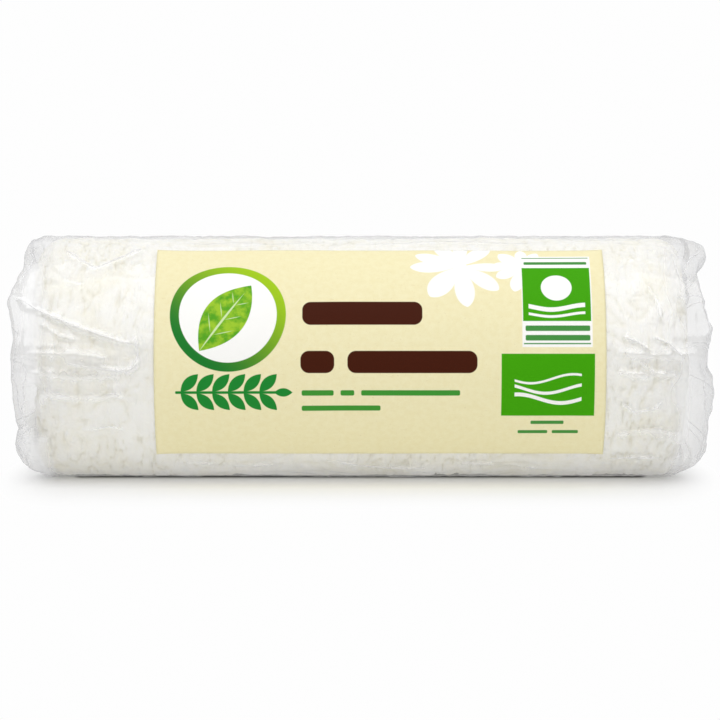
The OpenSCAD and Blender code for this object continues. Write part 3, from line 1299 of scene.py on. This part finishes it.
class CHEESELOG_OT_stage(bpy.types.Operator):
    """Set up the floor, the soft light and the camera"""

    bl_idname = "cheeselog.stage"
    bl_label = "Stage"

    def execute(self, context):
        settings = context.scene.stage_settings
        self.floor()
        self.room(context.scene, settings)
        self.softbox(settings)
        self.camera(context.scene, settings)
        context.scene.view_settings.view_transform = "Standard"
        context.scene.view_settings.look = "None"
        return {"FINISHED"}

    def floor(self):
        size = 6.0
        mesh = bpy.data.meshes.new("floor")
        mesh.from_pydata(
            [(-size, -size, 0), (size, -size, 0), (size, size, 0), (-size, size, 0)],
            [], [(0, 1, 2, 3)],
        )
        made = new_object("floor", mesh)
        r = Recipe("pale_floor")
        along, across, _ = r.split(r.object_space())
        half_length, narrowing = 0.050, 3.2
        past_end = (abs(along) - half_length).most(0.0) * narrowing
        away = (past_end ** 2.0 + across ** 2.0).root()
        # Seen from the camera, the floor is a little greyer close to the log than the light
        # that it throws back.
        grey = self.pool(r, 0.74, 0.07, 0.99, away.between(0.016, 0.048))
        # Painted contact shadow: right along the log the floor turns to a dark matt band with
        # no glow.
        dark = self.pool(r, 0.10, 0.0, 0.0, 0.0)
        grey = r.mixed(away.between(0.0042, 0.0085), dark, grey)
        pale = self.pool(r, 0.66, 0.30, 0.82, away.between(0.030, 0.115))
        made.data.materials.append(r.finish(r.mixed(r.seen(), pale, grey)))

    def pool(self, r, albedo, lift, rest, far):
        """A shader for the floor: matt near the log, where lift is a painted glow that lightens
        its shade, and plain white far from it.
        """
        matt = r.node("ShaderNodeBsdfDiffuse", None, {"Color": (albedo,) * 3}).outputs[0]
        lifted = r.node("ShaderNodeEmission", None, {"Strength": lift}).outputs[0]
        near = r.node("ShaderNodeAddShader", None, {0: matt, 1: lifted}).outputs[0]
        glow = r.node("ShaderNodeEmission", None, {"Strength": rest}).outputs[0]
        return r.mixed(far, near, glow)

    def room(self, scene, settings):
        """White behind the log, and dimmer on the camera's side."""
        r = Recipe("room", world=True)
        scene.world = r.owner
        level = r.node("ShaderNodeMapRange", None, {
            "Value": r.split(r.node("ShaderNodeTexCoord").outputs["Generated"])[1],
            "From Min": -0.4, "From Max": 0.2,
            "To Min": settings.fill, "To Max": settings.backdrop,
        })
        strength = r.node("ShaderNodeMix", None, {0: r.seen(), 2: level.outputs[0], 3: 0.99})
        back = r.node("ShaderNodeBackground", None, {
            "Color": (1, 1, 1), "Strength": strength.outputs[0],
        })
        r.finish(back.outputs[0], "ShaderNodeOutputWorld")

    def softbox(self, settings):
        """A wide panel: seen from the log, it goes from 19 degrees up in front to overhead."""
        width, depth = 1.5, 1.05
        watts = 4  # for each square metre, at a brightness of 1
        light = bpy.data.lights.new("softbox", "AREA")
        light.shape = "RECTANGLE"
        light.size, light.size_y = width, depth
        light.energy = settings.softbox * width * depth * watts
        made = new_object("softbox", light)
        made.location = (0.0, -0.42, 0.61)
        aim = Vector((0, 0, 0.02)) - made.location
        made.rotation_euler = aim.to_track_quat("-Z", "Y").to_euler()

    def camera(self, scene, settings):
        below_axis = 0.0006
        target = Vector((0.0, 0.0, rest_height() * MM - below_axis))
        away = Vector((0, -math.cos(settings.elevation), math.sin(settings.elevation)))
        data = bpy.data.cameras.new("camera")
        data.lens = settings.lens
        data.sensor_width = 36
        data.clip_end = 50
        made = new_object("camera", data)
        made.location = target + away * settings.distance
        made.rotation_euler = (-away).to_track_quat("-Z", "Y").to_euler()
        scene.camera = made


OPERATORS = (
    CHEESELOG_OT_cheese,
    CHEESELOG_OT_film,
    CHEESELOG_OT_label,
    CHEESELOG_OT_stage,
)


class CHEESELOG_PT_panel(bpy.types.Panel):
    """The pieces of the cheese log and their sizes"""

    bl_idname = "CHEESELOG_PT_panel"
    bl_label = "Cheese log"
    bl_space_type = "VIEW_3D"
    bl_region_type = "UI"
    bl_category = "Cheese log"

    def draw(self, context):
        for name, group in SETTINGS.items():
            box = self.layout.box()
            for prop in group.__annotations__:
                box.prop(getattr(context.scene, name), prop)
        for operator in OPERATORS:
            self.layout.operator(operator.bl_idname)


CLASSES = (*SETTINGS.values(), *OPERATORS, CHEESELOG_PT_panel)


def register():
    for item in CLASSES:
        bpy.utils.register_class(item)
    for name, group in SETTINGS.items():
        setattr(bpy.types.Scene, name, bpy.props.PointerProperty(type=group))


def unregister():
    for name in SETTINGS:
        delattr(bpy.types.Scene, name)
    for item in reversed(CLASSES):
        bpy.utils.unregister_class(item)


def main():
    register()
    for operator in OPERATORS:
        group, name = operator.bl_idname.split(".")
        getattr(getattr(bpy.ops, group), name)()


if __name__ == "__main__":
    main()
